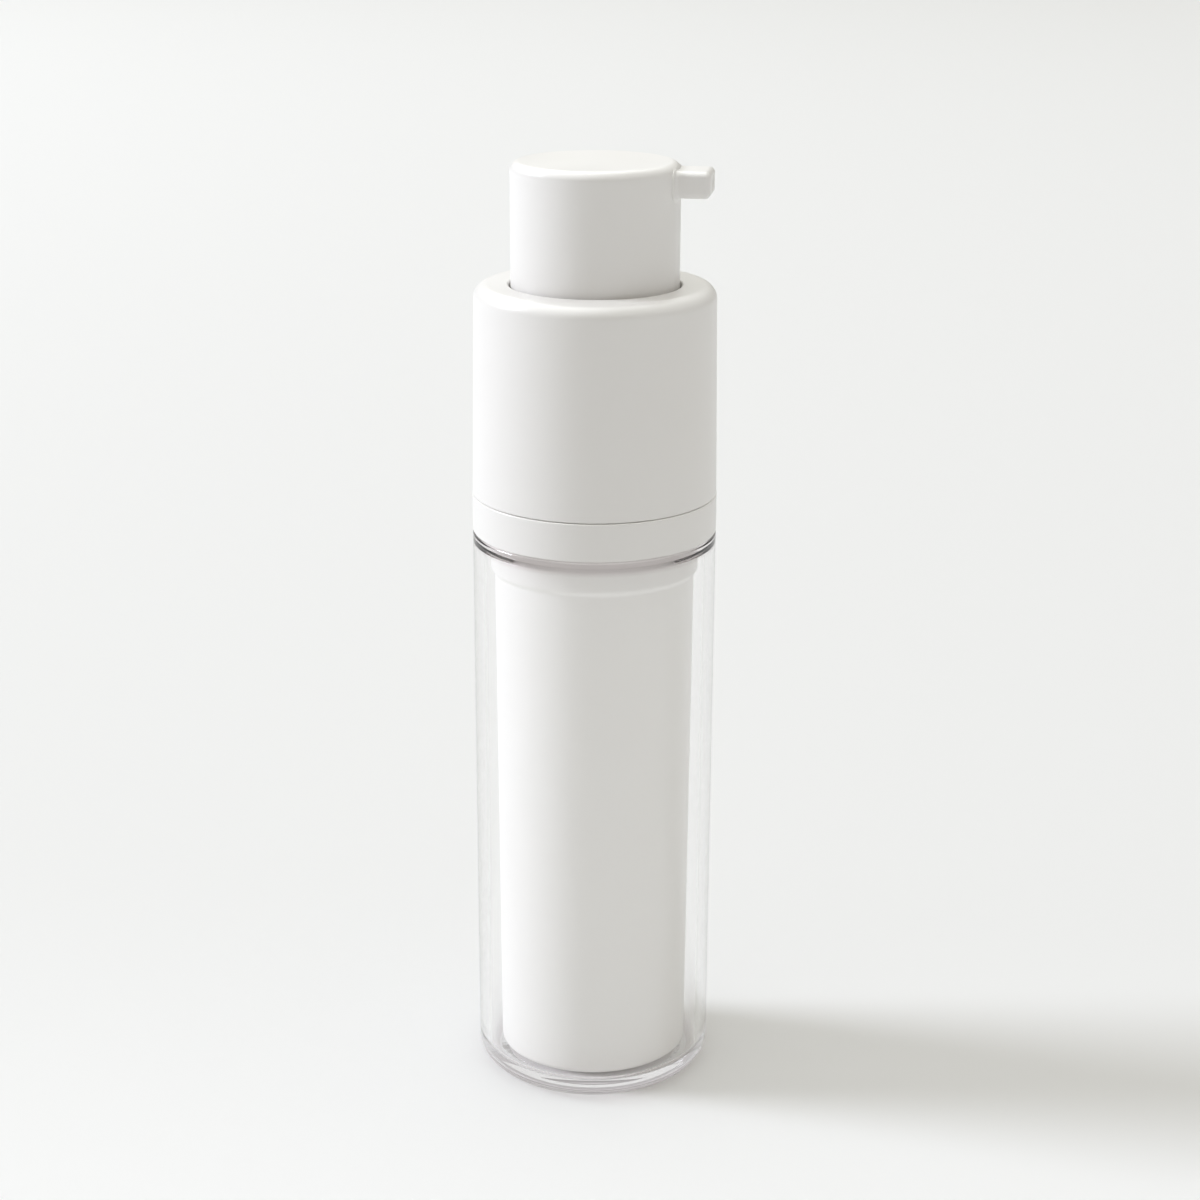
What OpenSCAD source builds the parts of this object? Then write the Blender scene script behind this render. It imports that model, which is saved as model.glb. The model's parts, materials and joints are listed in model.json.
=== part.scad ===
// Airless pump bottle with a twist-up head: a clear outer bottle round a white inner one.
// Millimetres, +Z up. The origin is the middle of the face the bottle stands on, and the
// nozzle points along +X. Everything is drawn with the head raised and not pressed.

/* [Clear outer bottle] */
// Outside diameter of the bottle, and of the ring above it
body_d = 35; // [33:0.5:40]
// Height of the clear bottle's body, from its foot to the white ring
bottle_h = 84.1; // [70:0.5:110]
// Thickness of the clear side wall
clear_wall = 1.7; // [1.4:0.1:2]
// Thickness of the clear floor
clear_floor = 2.8; // [1.8:0.1:4]
// Rounding of the foot
foot_round = 3; // [1.5:0.1:3.5]
// Rounding inside, where the floor meets the side wall
floor_round = 1.2; // [0.6:0.1:1.5]
// Height of the thick shoulder under the neck
shoulder_t = 2.0; // [1:0.1:2.5]
// Rounding of the shoulder's outer edge
shoulder_round = 0.5; // [0.2:0.05:0.7]
// Thickness of the neck's wall
neck_wall = 0.8; // [0.7:0.05:1]
// Depth of the shallow dish in the underside
dish_depth = 0.5; // [0.2:0.1:1]
// Width of the flat band that touches the table
foot_band = 1.6; // [1:0.1:2.5]

/* [White inner bottle] */
// Air gap between the two bottles at the top
air_gap = 1.4; // [1:0.1:1.8]
// How much slimmer the inner bottle is at its foot, on the radius
inner_draft = 0.4; // [0.1:0.05:0.6]
// Thickness of the inner bottle's wall at its foot
inner_wall = 1.1; // [0.8:0.1:1.4]
// Thickness of the inner bottle's floor
inner_floor = 1.2; // [0.8:0.1:2]
// Rounding of the inner bottle's foot
inner_round = 1; // [0.4:0.1:1.3]
// Distance from the top of the clear body down to the inner bottle's shoulder
shoulder_drop = 5.7; // [4:0.1:6.5]
// Thickness of the flange that hangs on the clear neck
flange_t = 1; // [0.8:0.1:1.3]
// Depth of the socket for the mouth plug
socket_depth = 7.4; // [6.8:0.1:8]
// Radius of the vent hole in the floor
vent_r = 0.8; // [0.4:0.1:1.5]

/* [Follower piston] */
// Height of the follower piston
follower_h = 10; // [9.6:0.1:12]
// Thickness of its web and of its skirt
follower_wall = 1.2; // [0.8:0.1:1.4]
// Height of each wiping lip
follower_lip = 1.4; // [1:0.1:2]

/* [Mouth plug and seals] */
// Thickness of the plug's plate and skirt
plug_wall = 1.2; // [1:0.1:1.3]
// How far the plug's hub reaches below its plate
hub_drop = 2.2; // [1.9:0.1:2.5]
// Outer radius of the plug's hub
hub_r = 6.8; // [6.7:0.1:7.4]
// Thickness of the ring gasket under the plug
gasket_t = 0.5; // [0.3:0.05:0.7]
// Width of the wiping seal round the pump's inlet tube
wiper_w = 1.5; // [1.2:0.1:1.8]

/* [Ring and guide housing] */
// Height of the white ring above the clear body
ring_h = 5.3; // [5:0.1:7]
// Thickness of the white ring
ring_wall = 0.8; // [0.7:0.05:1]
// Chamfer on the ring's two outer edges
ring_chamfer = 0.2; // [0.1:0.05:0.3]
// Thickness of the skirt that snaps over the clear neck
skirt_wall = 0.65; // [0.55:0.05:0.8]
// Height of the snap bead round the clear neck
bead_h = 0.2; // [0.1:0.05:0.25]
// Thickness of the housing's deck
deck_t = 0.9; // [0.7:0.1:1.2]
// Thickness of the guide tube's wall
guide_wall = 1; // [0.8:0.05:1.2]
// Height of the rim that holds the cam sleeve down
rim_h = 1.2; // [0.8:0.1:1.6]

/* [Twist collar and cam sleeve] */
// Height of the twist collar
collar_h = 29.8; // [28:0.1:34]
// Gap between the collar and the ring
seam_gap = 0.3; // [0.2:0.05:0.5]
// How much the collar narrows towards its top, on the radius
collar_draft = 0.45; // [0:0.05:0.6]
// Thickness of the collar's wall at its foot
collar_wall = 1.65; // [1.4:0.05:1.8]
// Thickness of the collar's top
collar_top = 1.6; // [1.2:0.1:2.4]
// Rounding of the collar's top edge
collar_round = 2; // [1:0.1:2.2]
// Depth of the lip round the actuator, from the collar's top face
lip_depth = 6.5; // [4:0.1:7]
// Thickness of the cam sleeve's wall
cam_wall = 1.3; // [1.1:0.05:1.5]
// Number of keys that turn the sleeve with the collar
key_count = 4; // [3:1:6]
// Width of each key
key_w = 2.8; // [2:0.1:4]
// How far the keys reach into the sleeve
key_depth = 2; // [1:0.1:3]
// Height of the snap bead that holds the collar on the sleeve
sleeve_bead = 0.35; // [0.25:0.05:0.45]
// Angle the collar turns through
twist_angle = 110; // [90:1:112]

/* [Lift carrier] */
// How far the head sinks when the collar is turned
lift_travel = 6.5; // [5:0.1:7]
// Number of guide pins
pin_count = 3; // [2:1:3]
// Radius of each guide pin
pin_r = 1.2; // [0.9:0.05:1.4]
// Height of the pins above the deck when the head is down
pin_low = 4.9; // [4.7:0.1:5.5]
// Thickness of the carrier's outer wall
carrier_wall = 1.3; // [1:0.1:1.5]
// How far the carrier reaches below its pins
carrier_below = 4.4; // [3:0.1:4.5]
// How far the carrier reaches above its pins
carrier_above = 4.9; // [3:0.1:5.5]
// Thickness of the web that carries the pump
web_t = 1.6; // [1.2:0.1:2.4]
// Thickness of the gasket under the pump's flange
flange_gasket_t = 0.6; // [0.4:0.05:0.8]

/* [Pump] */
// Radius of the pump chamber's bore
chamber_r = 4; // [3.6:0.1:4.2]
// Wall of the pump chamber
chamber_wall = 1.4; // [1.1:0.1:1.6]
// Radius of the pump's mounting flange
pump_flange_r = 8; // [7.6:0.1:8.4]
// Thickness of the pump's mounting flange
pump_flange_t = 0.9; // [0.7:0.1:1.1]
// Outer radius of the inlet tube
inlet_r = 4; // [3.7:0.1:4]
// Wall of the inlet tube
inlet_wall = 1.4; // [1:0.1:1.6]
// Stroke of the pump
press_stroke = 5; // [4:0.1:5.2]
// Height of the pump's piston
piston_h = 4.4; // [3.5:0.1:5]
// Radius of the hole that the inlet ball closes
seat_r = 1; // [0.8:0.05:1.1]
// Radius of the inlet ball
inlet_ball_r = 1.6; // [1.5:0.05:1.7]
// Lift of the inlet ball
inlet_lift = 0.7; // [0.4:0.1:0.9]
// Height of the cage over the inlet ball
cage_h = 1.2; // [1:0.1:1.5]
// Thickness of the stem guide's top
guide_top = 1.2; // [0.9:0.1:1.6]
// How far the stem guide reaches down into the chamber
guide_plug = 2.1; // [1.5:0.1:2.5]

/* [Stem and spring] */
// Radius of the hollow stem
stem_r = 1.9; // [1.8:0.05:2.1]
// Radius of the stem's bore
stem_bore = 0.8; // [0.7:0.05:0.82]
// Thickness of the stem's foot
foot_t = 0.5; // [0.4:0.05:0.8]
// Thickness of the spring wire
wire_d = 0.7; // [0.5:0.05:0.75]
// Turns of the spring
spring_turns = 6.5; // [5:0.5:6.5]
// Radius of the outlet ball
outlet_ball_r = 1.2; // [1.15:0.05:1.25]
// Lift of the outlet ball
outlet_lift = 0.8; // [0.5:0.1:0.9]

/* [Actuator] */
// Diameter of the actuator
head_d = 23.6; // [22:0.2:24.4]
// Height of the actuator's top above the collar, with the head raised
head_rise = 16.9; // [16:0.1:20]
// Thickness of the actuator's side wall
head_wall = 1.2; // [0.9:0.1:1.5]
// Thickness of the actuator's top
head_top = 1.2; // [0.9:0.05:1.25]
// Rounding of the actuator's top edge
head_round = 1.3; // [0.3:0.1:1.6]
// How far the actuator reaches down inside the collar
head_below = 6.5; // [6:0.1:7]
// Distance from the actuator's top down to the stem socket's mouth
socket_drop = 18.2; // [18:0.1:19]
// Depth of the stem socket
socket_grip = 4.2; // [3.5:0.1:4.5]
// Radius of the core's column
column_r = 3.1; // [2.9:0.1:3.6]
// Thickness of the core's plate
plate_t = 1.2; // [0.8:0.1:1.6]

/* [Nozzle] */
// How far the nozzle stands out from the actuator's side
nozzle_out = 4.4; // [3:0.1:5]
// Width of the nozzle
nozzle_w = 6.8; // [5:0.1:7.4]
// Height of the nozzle
nozzle_h = 3.7; // [3.6:0.05:3.9]
// Distance from the actuator's top down to the nozzle's top
nozzle_step = 0.8; // [0.7:0.05:0.9]
// Rounding of the nozzle's lower edges
nozzle_round = 0.9; // [0.3:0.1:1]
// Rounding of the nozzle's upper edges, and of its upright edges at the tip
nozzle_edge = 0.8; // [0.2:0.05:0.9]
// Distance from the actuator's top down to the axis of the outlet
outlet_drop = 2.65; // [2.6:0.05:2.75]
// Radius of the duct and of the insert in it
insert_r = 1.1; // [1.05:0.05:1.2]
// Radius of the outlet hole
outlet_r = 0.5; // [0.4:0.05:0.55]

/* [Clearances] */
// Gap on the radius between pieces pressed together
press_gap = 0.05; // [0.03:0.01:0.08]
// Gap on the radius between pieces that slide or turn in each other
slide_gap = 0.2; // [0.15:0.01:0.25]
// Gap on the radius of the sealing lips and the stem in its guide
seal_gap = 0.05; // [0.03:0.01:0.08]
// Gap between the actuator and the collar
head_gap = 0.3; // [0.25:0.05:0.5]
// Free height left between pieces that pass or stop each other
end_gap = 0.3; // [0.25:0.05:0.5]

/* [Hidden] */
$fn = 96;

// Radii from the outside in, at the neck and inside the collar
body_r = body_d / 2;
cavity_r = body_r - clear_wall;
skirt_r = body_r - ring_wall - press_gap;
neck_r = skirt_r - skirt_wall - press_gap;
neck_bore = neck_r - neck_wall;
inner_neck_r = neck_bore - slide_gap;
inner_top_r = cavity_r - air_gap;
inner_foot_r = inner_top_r - inner_draft;
bore_r = inner_foot_r - inner_wall;
socket_r = inner_neck_r - inner_wall;
plug_r = socket_r - press_gap;
collar_low_r = body_r - press_gap;
collar_bore = collar_low_r - collar_wall;
cam_r = collar_bore - slide_gap;
cam_bore = cam_r - cam_wall;
guide_r = cam_bore - slide_gap;
guide_bore = guide_r - guide_wall;
carrier_r = guide_bore - slide_gap;
chamber_out = chamber_r + chamber_wall;
head_r = head_d / 2;
hole_r = head_r + head_gap;
slot_r = pin_r + slide_gap;

// Heights of the bottles, the ring and the collar
inner_z = clear_floor + slide_gap;
deck_z = bottle_h + ring_h;
flange_z = deck_z - deck_t - press_gap - flange_t;
mouth_z = flange_z + flange_t;
neck_h = flange_z - press_gap - bottle_h;
bead_z = bottle_h + neck_h / 2;
socket_z = mouth_z - socket_depth;
plate_z = socket_z + gasket_t;
hub_z = plate_z - hub_drop;
collar_z = deck_z + seam_gap;
collar_top_z = collar_z + collar_h;
lip_z = collar_top_z - lip_depth;
guide_top_z = lip_z - end_gap;
cam_top_z = guide_top_z - rim_h - end_gap;
rim_r = cam_bore + 0.4 * cam_wall;
key_r = rim_r + slide_gap;
sleeve_bead_z = collar_z + 4;

// Heights of the carrier and the pump
pin_z = deck_z + pin_low + lift_travel;
web_z = pin_z + slide_gap;
pump_flange_z = web_z + flange_gasket_t;
cap_z = pump_flange_z + pump_flange_t;
cap_flange_t = 0.8;
chamber_top_z = cap_z + carrier_above - 1.4;
cap_top_z = chamber_top_z + guide_top;
stop_z = chamber_top_z - guide_plug;
piston_z = stop_z - slide_gap - piston_h;
stem_z = piston_z - foot_t;
cage_top_z = stem_z - press_stroke - end_gap;
chamber_z = cage_top_z - cage_h;
cage_bar = cage_h / 2;
pocket_r = inlet_ball_r + 0.4;
ball_z = cage_top_z - cage_bar - inlet_lift - 0.15 - inlet_ball_r;
cone_z = ball_z - seal_gap - inlet_ball_r * sqrt(2) + seat_r;
pocket_z = cone_z + pocket_r - seat_r;
seat_len = 1;
throat_z = cone_z - seat_len;
inlet_z = hub_z + slide_gap;
cap_socket_r = pump_flange_r + slide_gap;

// Heights of the follower, as it lies in a full bottle
follower_z = inner_z + inner_floor + slide_gap;

// Heights of the actuator
head_z = collar_top_z + head_rise;
head_low_z = collar_top_z - head_below;
core_z = head_z - socket_drop;
stem_top_z = core_z + socket_grip;
seat_cone = 2 * stem_bore;
outlet_seat_z = stem_top_z - seat_cone + stem_bore;
outlet_ball_z = outlet_seat_z - stem_bore + outlet_ball_r * sqrt(2) + seal_gap;
outlet_roof_z = outlet_ball_z + outlet_ball_r + outlet_lift + slide_gap;
outlet_pocket_r = outlet_ball_r + 0.4;
outlet_z = head_z - outlet_drop;
plate_core_z = outlet_roof_z;
core_plate_r = head_r - head_wall - press_gap;
duct_r = insert_r + 0.15;
duct_end = head_r - head_wall - end_gap;
spigot_r = insert_r - 0.3;
spigot_len = 2.2;
nozzle_tip = head_r + nozzle_out;
nozzle_top_z = head_z - nozzle_step;
nozzle_recess = 0.2;

// The spring stands on the stem guide and carries the core
spring_r = stem_r + wire_d / 2 + 1.15;
spring_low = cap_top_z + press_gap + wire_d / 2;
spring_high = core_z - press_gap - wire_d / 2;
ring_sides = 6;
rings_per_turn = 8;
spring_rings = round(spring_turns * rings_per_turn);

// A half section from the axis out to r, with its two outer corners rounded
module corner_block(r, z0, z1, low, high) {
    translate([0, z0 + low]) square([r, z1 - z0 - low - high]);
    translate([0, z0]) square([r - low, z1 - z0 - high]);
    translate([0, z0 + low]) square([r - high, z1 - z0 - low]);
    if (low > 0) translate([r - low, z0 + low]) circle(low);
    if (high > 0) translate([r - high, z1 - high]) circle(high);
}

// A ring's half section between two radii and two heights
module band(r0, r1, z0, z1) {
    translate([r0, z0]) square([r1 - r0, z1 - z0]);
}

// A round hole along X, from x0 to x1 at height z
module along_x(r, x0, x1, z) {
    translate([x0, 0, z]) rotate([0, 90, 0]) cylinder(r = r, h = x1 - x0);
}

module outer_bottle() {
    taper = cavity_r - neck_bore;
    dish_r = body_r - foot_round - foot_band;
    color([0.88, 0.92, 0.94, 0.35]) rotate_extrude() difference() {
        union() {
            corner_block(body_r, 0, bottle_h, foot_round, shoulder_round);
            band(0, neck_r, bottle_h - shoulder_t, bottle_h + neck_h);
            translate([neck_r, bead_z]) circle(bead_h);
        }
        translate([0, clear_floor + floor_round])
            square([cavity_r, bottle_h - shoulder_t - clear_floor - floor_round]);
        translate([0, clear_floor]) square([cavity_r - floor_round, floor_round + 1]);
        translate([cavity_r - floor_round, clear_floor + floor_round]) circle(floor_round);
        polygon([
            [0, bottle_h - shoulder_t - 1], [cavity_r, bottle_h - shoulder_t - 1],
            [cavity_r, bottle_h - shoulder_t], [neck_bore, bottle_h - shoulder_t + taper],
            [0, bottle_h - shoulder_t + taper]
        ]);
        band(0, neck_bore, bottle_h - shoulder_t, bottle_h + neck_h + 1);
        polygon([[0, -1], [dish_r, -1], [dish_r, 0], [dish_r - 2 * dish_depth, dish_depth], [0, dish_depth]]);
    }
}

module inner_bottle() {
    shoulder_z = bottle_h - shoulder_drop;
    flare = inner_neck_r - inner_top_r;
    color([0.93, 0.93, 0.92]) difference() {
        rotate_extrude() difference() {
            union() {
                polygon([
                    [0, inner_z + inner_round], [inner_foot_r, inner_z + inner_round],
                    [inner_top_r, shoulder_z], [inner_neck_r, shoulder_z + flare],
                    [inner_neck_r, flange_z], [neck_r - bead_h, flange_z],
                    [neck_r - bead_h, mouth_z], [0, mouth_z]
                ]);
                translate([0, inner_z]) square([inner_foot_r - inner_round, inner_round + 1]);
                translate([inner_foot_r - inner_round, inner_z + inner_round]) circle(inner_round);
            }
            band(0, bore_r, inner_z + inner_floor, socket_z + 1);
            band(0, socket_r, socket_z, mouth_z + 1);
        }
        translate([0, 0, inner_z - 1]) cylinder(r = vent_r, h = inner_floor + 2);
    }
}

module follower_piston() {
    top_z = follower_z + follower_h;
    lip_r = bore_r - seal_gap;
    skirt = lip_r - 0.5;
    color([0.90, 0.90, 0.88]) rotate_extrude() difference() {
        union() {
            band(0, skirt, follower_z, top_z);
            band(skirt - 1, lip_r, follower_z, follower_z + follower_lip);
            band(skirt - 1, lip_r, top_z - follower_lip, top_z);
        }
        band(0, skirt - follower_wall, follower_z + follower_wall, top_z + 1);
    }
}

module mouth_gasket() {
    color([0.80, 0.80, 0.78]) rotate_extrude()
        band(bore_r, plug_r, socket_z, socket_z + gasket_t);
}

module mouth_plug() {
    pocket = inlet_r + wiper_w + 2 * seal_gap;
    color([0.91, 0.91, 0.90]) rotate_extrude() difference() {
        union() {
            band(0, plug_r, plate_z, plate_z + plug_wall);
            band(plug_r - plug_wall, plug_r, plate_z, mouth_z);
            band(0, hub_r, hub_z, plate_z + plug_wall);
        }
        band(0, inlet_r + 2 * slide_gap, hub_z - 1, plate_z + plug_wall + 1);
        band(0, pocket, hub_z + plug_wall / 2, plate_z + plug_wall + 1);
    }
}

module wiper_seal() {
    low = hub_z + plug_wall / 2 + seal_gap;
    high = plate_z + plug_wall - slide_gap;
    lip = 0.6;
    color([0.75, 0.75, 0.74]) rotate_extrude() difference() {
        band(inlet_r + seal_gap, inlet_r + wiper_w + seal_gap, low, high);
        band(0, inlet_r + seal_gap + lip, low + lip, high - lip);
    }
}

module guide_housing() {
    slot_low = pin_z - lift_travel;
    color([0.90, 0.90, 0.89]) difference() {
        rotate_extrude() difference() {
            union() {
                band(skirt_r - skirt_wall, skirt_r, bottle_h + end_gap, deck_z);
                band(guide_bore, skirt_r, deck_z - deck_t, deck_z);
                band(guide_bore, guide_r, deck_z - deck_t, guide_top_z);
                band(guide_bore, rim_r, guide_top_z - rim_h, guide_top_z);
            }
            translate([neck_r, bead_z]) circle(bead_h + press_gap);
        }
        for (i = [0:pin_count - 1]) rotate([0, 0, i * 360 / pin_count]) {
            along_x(slot_r, guide_bore - 1, guide_r + 1, pin_z);
            along_x(slot_r, guide_bore - 1, guide_r + 1, slot_low);
            translate([guide_bore - 1, -slot_r, slot_low])
                cube([guide_wall + 2, 2 * slot_r, lift_travel]);
        }
    }
}

module base_ring() {
    low = bottle_h + press_gap;
    color([0.94, 0.94, 0.92]) rotate_extrude() polygon([
        [body_r - ring_wall, low], [body_r - ring_chamfer, low], [body_r, low + ring_chamfer],
        [body_r, deck_z - ring_chamfer], [body_r - ring_chamfer, deck_z],
        [body_r - ring_wall, deck_z]
    ]);
}

// One sloping slot for a guide pin, made of short straight cuts round the sleeve
module cam_slot() {
    steps = 11;
    mid_r = (cam_r + cam_bore) / 2;
    slope = atan(lift_travel / (mid_r * twist_angle * PI / 180));
    cut_len = cam_r * twist_angle / steps * PI / 180 / cos(slope) + 0.4;
    for (i = [0:steps - 1])
        rotate([0, 0, (i + 0.5) * twist_angle / steps])
        translate([mid_r, 0, pin_z - (i + 0.5) * lift_travel / steps])
        rotate([-slope, 0, 0])
            cube([cam_wall + 2, cut_len, 2 * slot_r], center = true);
    along_x(slot_r, cam_bore - 1, cam_r + 1, pin_z);
    rotate([0, 0, twist_angle]) along_x(slot_r, cam_bore - 1, cam_r + 1, pin_z - lift_travel);
}

module cam_sleeve() {
    color([0.88, 0.88, 0.87]) difference() {
        rotate_extrude() {
            band(cam_bore, cam_r, collar_z, cam_top_z);
            translate([cam_r, sleeve_bead_z]) circle(sleeve_bead);
        }
        for (i = [0:pin_count - 1]) rotate([0, 0, i * 360 / pin_count]) cam_slot();
        for (i = [0:key_count - 1]) rotate([0, 0, (i + 0.5) * 360 / key_count])
            translate([cam_bore - 1, -key_w / 2 - slide_gap, cam_top_z - key_depth])
                cube([cam_wall + 2, key_w + 2 * slide_gap, key_depth + 1]);
    }
}

module twist_collar() {
    high_r = collar_low_r - collar_draft;
    side_top = collar_top_z - collar_round;
    under_z = collar_top_z - collar_top;
    color([0.94, 0.94, 0.92]) {
        rotate_extrude() difference() {
            union() {
                polygon([[0, collar_z], [collar_low_r, collar_z], [high_r, side_top], [0, side_top]]);
                band(0, high_r - collar_round, side_top - 1, collar_top_z);
                translate([high_r - collar_round, side_top]) circle(collar_round);
            }
            band(hole_r + 1, collar_bore - 0.2, collar_z + 1, under_z);
            band(0, collar_bore, collar_z - 1, cam_top_z);
            band(0, hole_r + 1, collar_z - 1, lip_z);
            band(0, hole_r, collar_z - 1, collar_top_z + 1);
            translate([cam_r, sleeve_bead_z]) circle(sleeve_bead + 2 * press_gap);
        }
        for (i = [0:key_count - 1]) rotate([0, 0, (i + 0.5) * 360 / key_count])
            translate([key_r, -key_w / 2, cam_top_z - key_depth + slide_gap])
                cube([collar_bore - key_r + 0.3, key_w, under_z - cam_top_z + key_depth - slide_gap]);
    }
}

module lift_carrier() {
    low = pin_z - carrier_below;
    high = pin_z + carrier_above;
    socket_wall = 1;
    color([0.90, 0.90, 0.89]) {
        rotate_extrude() difference() {
            union() {
                band(carrier_r - carrier_wall, carrier_r, low, high);
                band(chamber_out + press_gap, carrier_r, web_z - web_t, web_z);
                band(cap_socket_r, cap_socket_r + socket_wall, web_z - web_t, cap_z + 2);
                translate([cap_socket_r + 0.1, cap_z + cap_flange_t + 0.4]) circle(0.3);
            }
        }
        for (i = [0:pin_count - 1]) rotate([0, 0, i * 360 / pin_count])
            along_x(pin_r, carrier_r - carrier_wall / 2, cam_r - slide_gap, pin_z);
    }
}

module flange_gasket() {
    color([0.78, 0.78, 0.76]) rotate_extrude()
        band(chamber_out + slide_gap, pump_flange_r, web_z, pump_flange_z);
}

module pump_cylinder() {
    inlet_bore = inlet_r - inlet_wall;
    step_z = throat_z - 0.4;
    waist_z = cone_z + chamber_out - inlet_r;
    color([0.92, 0.92, 0.91]) rotate_extrude() difference() {
        union() {
            band(0, chamber_out, waist_z, chamber_top_z);
            polygon([[0, cone_z], [inlet_r, cone_z], [chamber_out, waist_z], [0, waist_z]]);
            band(0, inlet_r, inlet_z, waist_z);
            band(0, pump_flange_r, pump_flange_z, cap_z);
        }
        band(0, chamber_r, chamber_z, chamber_top_z + 1);
        band(0, pocket_r, pocket_z, chamber_z + 1);
        polygon([[0, cone_z], [seat_r, cone_z], [pocket_r, pocket_z], [0, pocket_z]]);
        band(0, seat_r, step_z - 1, pocket_z);
        band(0, inlet_bore, inlet_z - 1, step_z);
    }
}

module inlet_ball() {
    color([0.72, 0.73, 0.75]) translate([0, 0, ball_z]) sphere(inlet_ball_r);
}

module ball_cage() {
    bar_w = 0.7;
    inner_r = pocket_r + 0.2;
    color([0.88, 0.88, 0.87]) {
        rotate_extrude() band(inner_r, chamber_r - press_gap, chamber_z, cage_top_z);
        for (turn = [0, 90]) rotate([0, 0, turn])
            translate([-inner_r - 0.5, -bar_w / 2, cage_top_z - cage_bar])
                cube([2 * inner_r + 1, bar_w, cage_bar]);
    }
}

module stem_guide() {
    skirt_in = chamber_out + press_gap;
    skirt_out = skirt_in + 1;
    color([0.91, 0.91, 0.90]) rotate_extrude() difference() {
        union() {
            band(skirt_in, pump_flange_r, cap_z, cap_z + cap_flange_t);
            band(skirt_in, skirt_out, cap_z, cap_top_z);
            band(0, skirt_out, chamber_top_z, cap_top_z);
            band(0, chamber_r - press_gap, stop_z, cap_top_z);
        }
        band(0, stem_r + seal_gap, stop_z - 1, cap_top_z + 1);
        band(0, chamber_r - 1, stop_z - 1, chamber_top_z - 0.6);
    }
}

module pump_piston() {
    lip_r = chamber_r - seal_gap;
    lip_h = 0.9;
    waist = 0.7;
    color([0.84, 0.85, 0.86]) rotate_extrude() difference() {
        band(stem_r + press_gap, lip_r, piston_z, piston_z + piston_h);
        band(lip_r - waist, lip_r + 1, piston_z + lip_h, piston_z + piston_h - lip_h);
    }
}

module pump_stem() {
    foot_r = stem_r + 1;
    color([0.93, 0.93, 0.92]) rotate_extrude() difference() {
        union() {
            band(0, stem_r, stem_z, stem_top_z);
            band(0, foot_r, stem_z, piston_z);
        }
        band(0, stem_bore, stem_z - 1, stem_top_z + 1);
        polygon([
            [0, outlet_seat_z], [stem_bore, outlet_seat_z],
            [2 * stem_bore, stem_top_z], [0, stem_top_z]
        ]);
    }
}

function spring_centre(i) =
    let (turn = 360 * i / rings_per_turn)
    [
        spring_r * cos(turn), spring_r * sin(turn),
        spring_low + (spring_high - spring_low) * i / spring_rings
    ];

// One ring of points round the wire, square to its run
function wire_ring(i) =
    let (turn = 360 * i / rings_per_turn)
    let (climb = (spring_high - spring_low) / (spring_rings / rings_per_turn))
    let (rise = atan(climb / (2 * PI * spring_r)))
    let (out = [cos(turn), sin(turn), 0])
    let (up = [sin(turn) * sin(rise), -cos(turn) * sin(rise), cos(rise)])
    [for (k = [0:ring_sides - 1]) let (a = 360 * k / ring_sides)
        spring_centre(i) + wire_d / 2 * (cos(a) * out + sin(a) * up)];

module return_spring() {
    points = [for (i = [0:spring_rings]) each wire_ring(i)];
    sides = [
        for (i = [0:spring_rings - 1]) for (k = [0:ring_sides - 1])
            let (a = i * ring_sides + k)
            let (b = i * ring_sides + (k + 1) % ring_sides)
            each [[a, a + ring_sides, b], [b, a + ring_sides, b + ring_sides]]
    ];
    first = [for (k = [1:ring_sides - 2]) [0, k, k + 1]];
    base = spring_rings * ring_sides;
    last = [for (k = [1:ring_sides - 2]) [base, base + k + 1, base + k]];
    gaps = [
        for (i = [0:spring_rings - rings_per_turn / 2 - 1])
            for (j = [i + rings_per_turn / 2:spring_rings])
                norm(spring_centre(i) - spring_centre(j)) - wire_d
    ];
    echo("least gap of the spring to itself", min(gaps));
    color([0.70, 0.71, 0.73]) polyhedron(points, concat(sides, first, last));
}

module outlet_ball() {
    color([0.72, 0.73, 0.75]) translate([0, 0, outlet_ball_z]) sphere(outlet_ball_r);
}

module actuator_core() {
    seat_flange_r = spring_r + wire_d;
    rib_t = 0.8;
    rib_r = core_plate_r - 1.5;
    rib_h = 3;
    slot_w = 2 * outlet_r;
    color([0.92, 0.92, 0.91]) difference() {
        union() {
            rotate_extrude() {
                band(0, column_r, core_z, outlet_z);
                band(0, seat_flange_r, core_z, core_z + 1);
                band(0, core_plate_r, plate_core_z, plate_core_z + plate_t);
            }
            translate([0, 0, outlet_z]) sphere(duct_r);
            translate([0, 0, outlet_z - 1]) cylinder(r = duct_r, h = 1);
            along_x(duct_r, 0, duct_end, outlet_z);
            for (turn = [90, 180, 270]) rotate([0, 0, turn])
                translate([column_r - 0.5, -rib_t / 2, plate_core_z])
                    cube([rib_r - column_r + 0.5, rib_t, plate_t + rib_h]);
        }
        translate([0, 0, core_z - 1]) cylinder(r = stem_r + press_gap, h = socket_grip + 1);
        translate([0, 0, stem_top_z - 0.01])
            cylinder(r = outlet_pocket_r, h = outlet_roof_z - stem_top_z + 0.01);
        translate([-outlet_pocket_r, -slot_w / 2, outlet_roof_z - 0.01])
            cube([2 * outlet_pocket_r, slot_w, 1]);
        translate([0, 0, outlet_roof_z]) cylinder(r = outlet_r, h = outlet_z - outlet_roof_z);
        along_x(outlet_r, 0, duct_end + 1, outlet_z);
        along_x(spigot_r + press_gap, duct_end - spigot_len, duct_end + 1, outlet_z);
    }
}

module nozzle_insert() {
    color([0.90, 0.90, 0.89]) difference() {
        union() {
            along_x(spigot_r, duct_end - spigot_len + slide_gap, duct_end + 1, outlet_z);
            along_x(insert_r, duct_end + end_gap, nozzle_tip - nozzle_recess, outlet_z);
        }
        along_x(outlet_r, duct_end - spigot_len - 1, nozzle_tip + 1, outlet_z);
    }
}

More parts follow.
